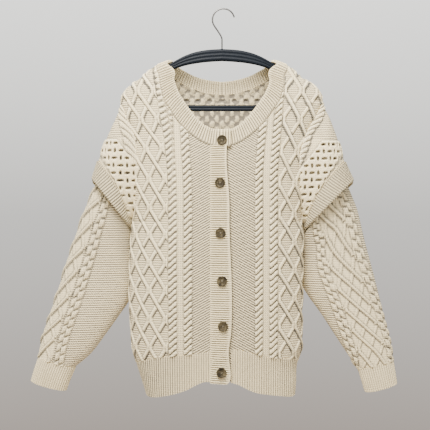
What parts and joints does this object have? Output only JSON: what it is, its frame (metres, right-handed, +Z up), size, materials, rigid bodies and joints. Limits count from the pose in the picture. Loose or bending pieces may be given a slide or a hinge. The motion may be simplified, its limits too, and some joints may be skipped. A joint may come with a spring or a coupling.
{
  "type": "cable knit cardigan on a hanger",
  "caption": "Round-necked cable knit cardigan with double-layer sleeves, ribbed edges and a buttoned front, hanging open at neck, hem and cuffs on a plain plastic hanger.",
  "frame": {"origin": "the inside of the wire hook's crown, the point that the hanger hangs from", "axes": "+X towards the wearer's left, +Y towards the garment's back, +Z up"},
  "size_m": [0.7507, 0.1378, 0.793],
  "materials": {
    "knit": "matte cream cable knit",
    "hanger": "satin black moulded plastic",
    "wire": "plain drawn wire",
    "buttons": "mottled brown horn look"
  },
  "bodies": {
    "root": {"front_right": "knit", "front_left": "knit", "back": "knit", "hem_front_right": "knit", "hem_front_left": "knit", "hem_back": "knit", "neck_band": "knit", "buttonhole_band": "knit", "button_band": "knit", "cap_right_front": "knit", "cap_right_back": "knit", "cap_left_front": "knit", "cap_left_back": "knit", "cap_band_right": "knit", "cap_band_left": "knit", "sleeve_right": "knit", "sleeve_left": "knit", "cuff_right": "knit", "cuff_left": "knit", "hanger_arch": "hanger", "hanger_bar": "hanger", "hanger_hook": "wire", "button_1": "buttons", "button_2": "buttons", "button_3": "buttons", "button_4": "buttons", "button_5": "buttons", "button_6": "buttons"}
  },
  "joints": []
}
